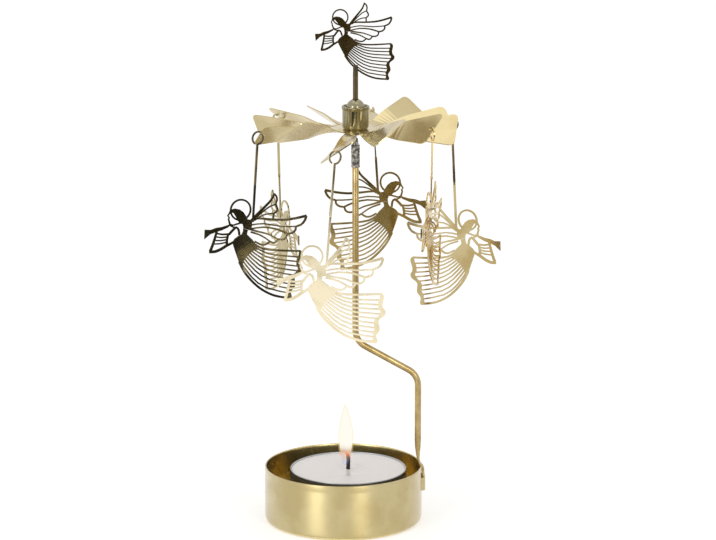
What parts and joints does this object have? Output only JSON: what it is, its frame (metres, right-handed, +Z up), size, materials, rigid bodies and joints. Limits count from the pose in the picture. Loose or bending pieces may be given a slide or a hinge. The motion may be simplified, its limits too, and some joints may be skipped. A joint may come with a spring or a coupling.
{
  "type": "angel chime carousel",
  "caption": "Tealight holder with a bent wire stand and a bladed fan that turns in the flame's warm air and carries hanging trumpet angels",
  "frame": {"origin": "centre of the cup's flat underside, on the table", "axes": "+Z up along the mast, +X from the cup's centre towards the foot of the wire stand, -Y towards the viewer of the picture"},
  "size_m": [0.0953, 0.0756, 0.1714],
  "materials": {
    "cup_gold": "satin pale gold plating",
    "wire_gold": "satin gold plating",
    "hub_brass": "polished",
    "fan_gold": "satin-mirror pale gold plating",
    "sheet_gold": "mirror gold plating",
    "needle_steel": "bright steel",
    "sleeve_steel": "rough grey steel",
    "tealight_alu": "thin rolled aluminium",
    "wax_white": "smooth white wax",
    "wick_cotton": "charred cotton"
  },
  "bodies": {
    "base": {"cup": "cup_gold", "stand_wire": "wire_gold", "needle_sleeve": "sleeve_steel", "pivot_needle": "needle_steel"},
    "tealight": {"tealight_cup": "tealight_alu", "wax": "wax_white", "wick": "wick_cotton", "wick_foot": "needle_steel"},
    "rotor": {"hub_shell": "hub_brass", "hub_dome": "hub_brass", "bearing_cup": "hub_brass", "fan_rivet": "hub_brass", "fan": "fan_gold", "topper_stem": "wire_gold", "topper_angel": "sheet_gold"},
    "hung_a": {"angel_a": "sheet_gold"},
    "hung_b": {"angel_b": "sheet_gold"},
    "hung_c": {"angel_c": "sheet_gold"},
    "hung_d": {"angel_d": "sheet_gold"},
    "hung_e": {"angel_e": "sheet_gold"},
    "hung_f": {"angel_f": "sheet_gold"}
  },
  "joints": [
    {"name": "rotor_spin", "type": "hinge", "parent": "base", "child": "rotor", "pos_m": [0.004, 0, 0.13037], "axis": [0, 0, 1], "continuous": true},
    {"name": "tealight_lift", "type": "slide", "parent": "base", "child": "tealight", "axis": [0, 0, 1], "range_m": [0, 0.028]},
    {"name": "swing_a", "type": "hinge", "parent": "rotor", "child": "hung_a", "pos_m": [-0.02709, -0.01195, 0.12979], "axis": [-0.6157, 0.788, 0], "range_deg": [-8, 15]},
    {"name": "swing_b", "type": "hinge", "parent": "rotor", "child": "hung_b", "pos_m": [-0.00237, -0.03147, 0.12734], "axis": [-0.5, 0.866, 0], "range_deg": [-8, 8]},
    {"name": "swing_c", "type": "hinge", "parent": "rotor", "child": "hung_c", "pos_m": [-0.02145, 0.02136, 0.12939], "axis": [0.6428, 0.766, 0], "range_deg": [-8, 15]},
    {"name": "swing_d", "type": "hinge", "parent": "rotor", "child": "hung_d", "pos_m": [0.00977, 0.03272, 0.12939], "axis": [0.9848, -0.1736, 0], "range_deg": [-8, 15]},
    {"name": "swing_e", "type": "hinge", "parent": "rotor", "child": "hung_e", "pos_m": [0.02823, -0.02142, 0.13284], "axis": [-0.9659, -0.2588, 0], "range_deg": [-8, 12]},
    {"name": "swing_f", "type": "hinge", "parent": "rotor", "child": "hung_f", "pos_m": [0.03524, 0.01137, 0.12986], "axis": [0.342, -0.9397, 0], "range_deg": [-8, 15]}
  ]
}
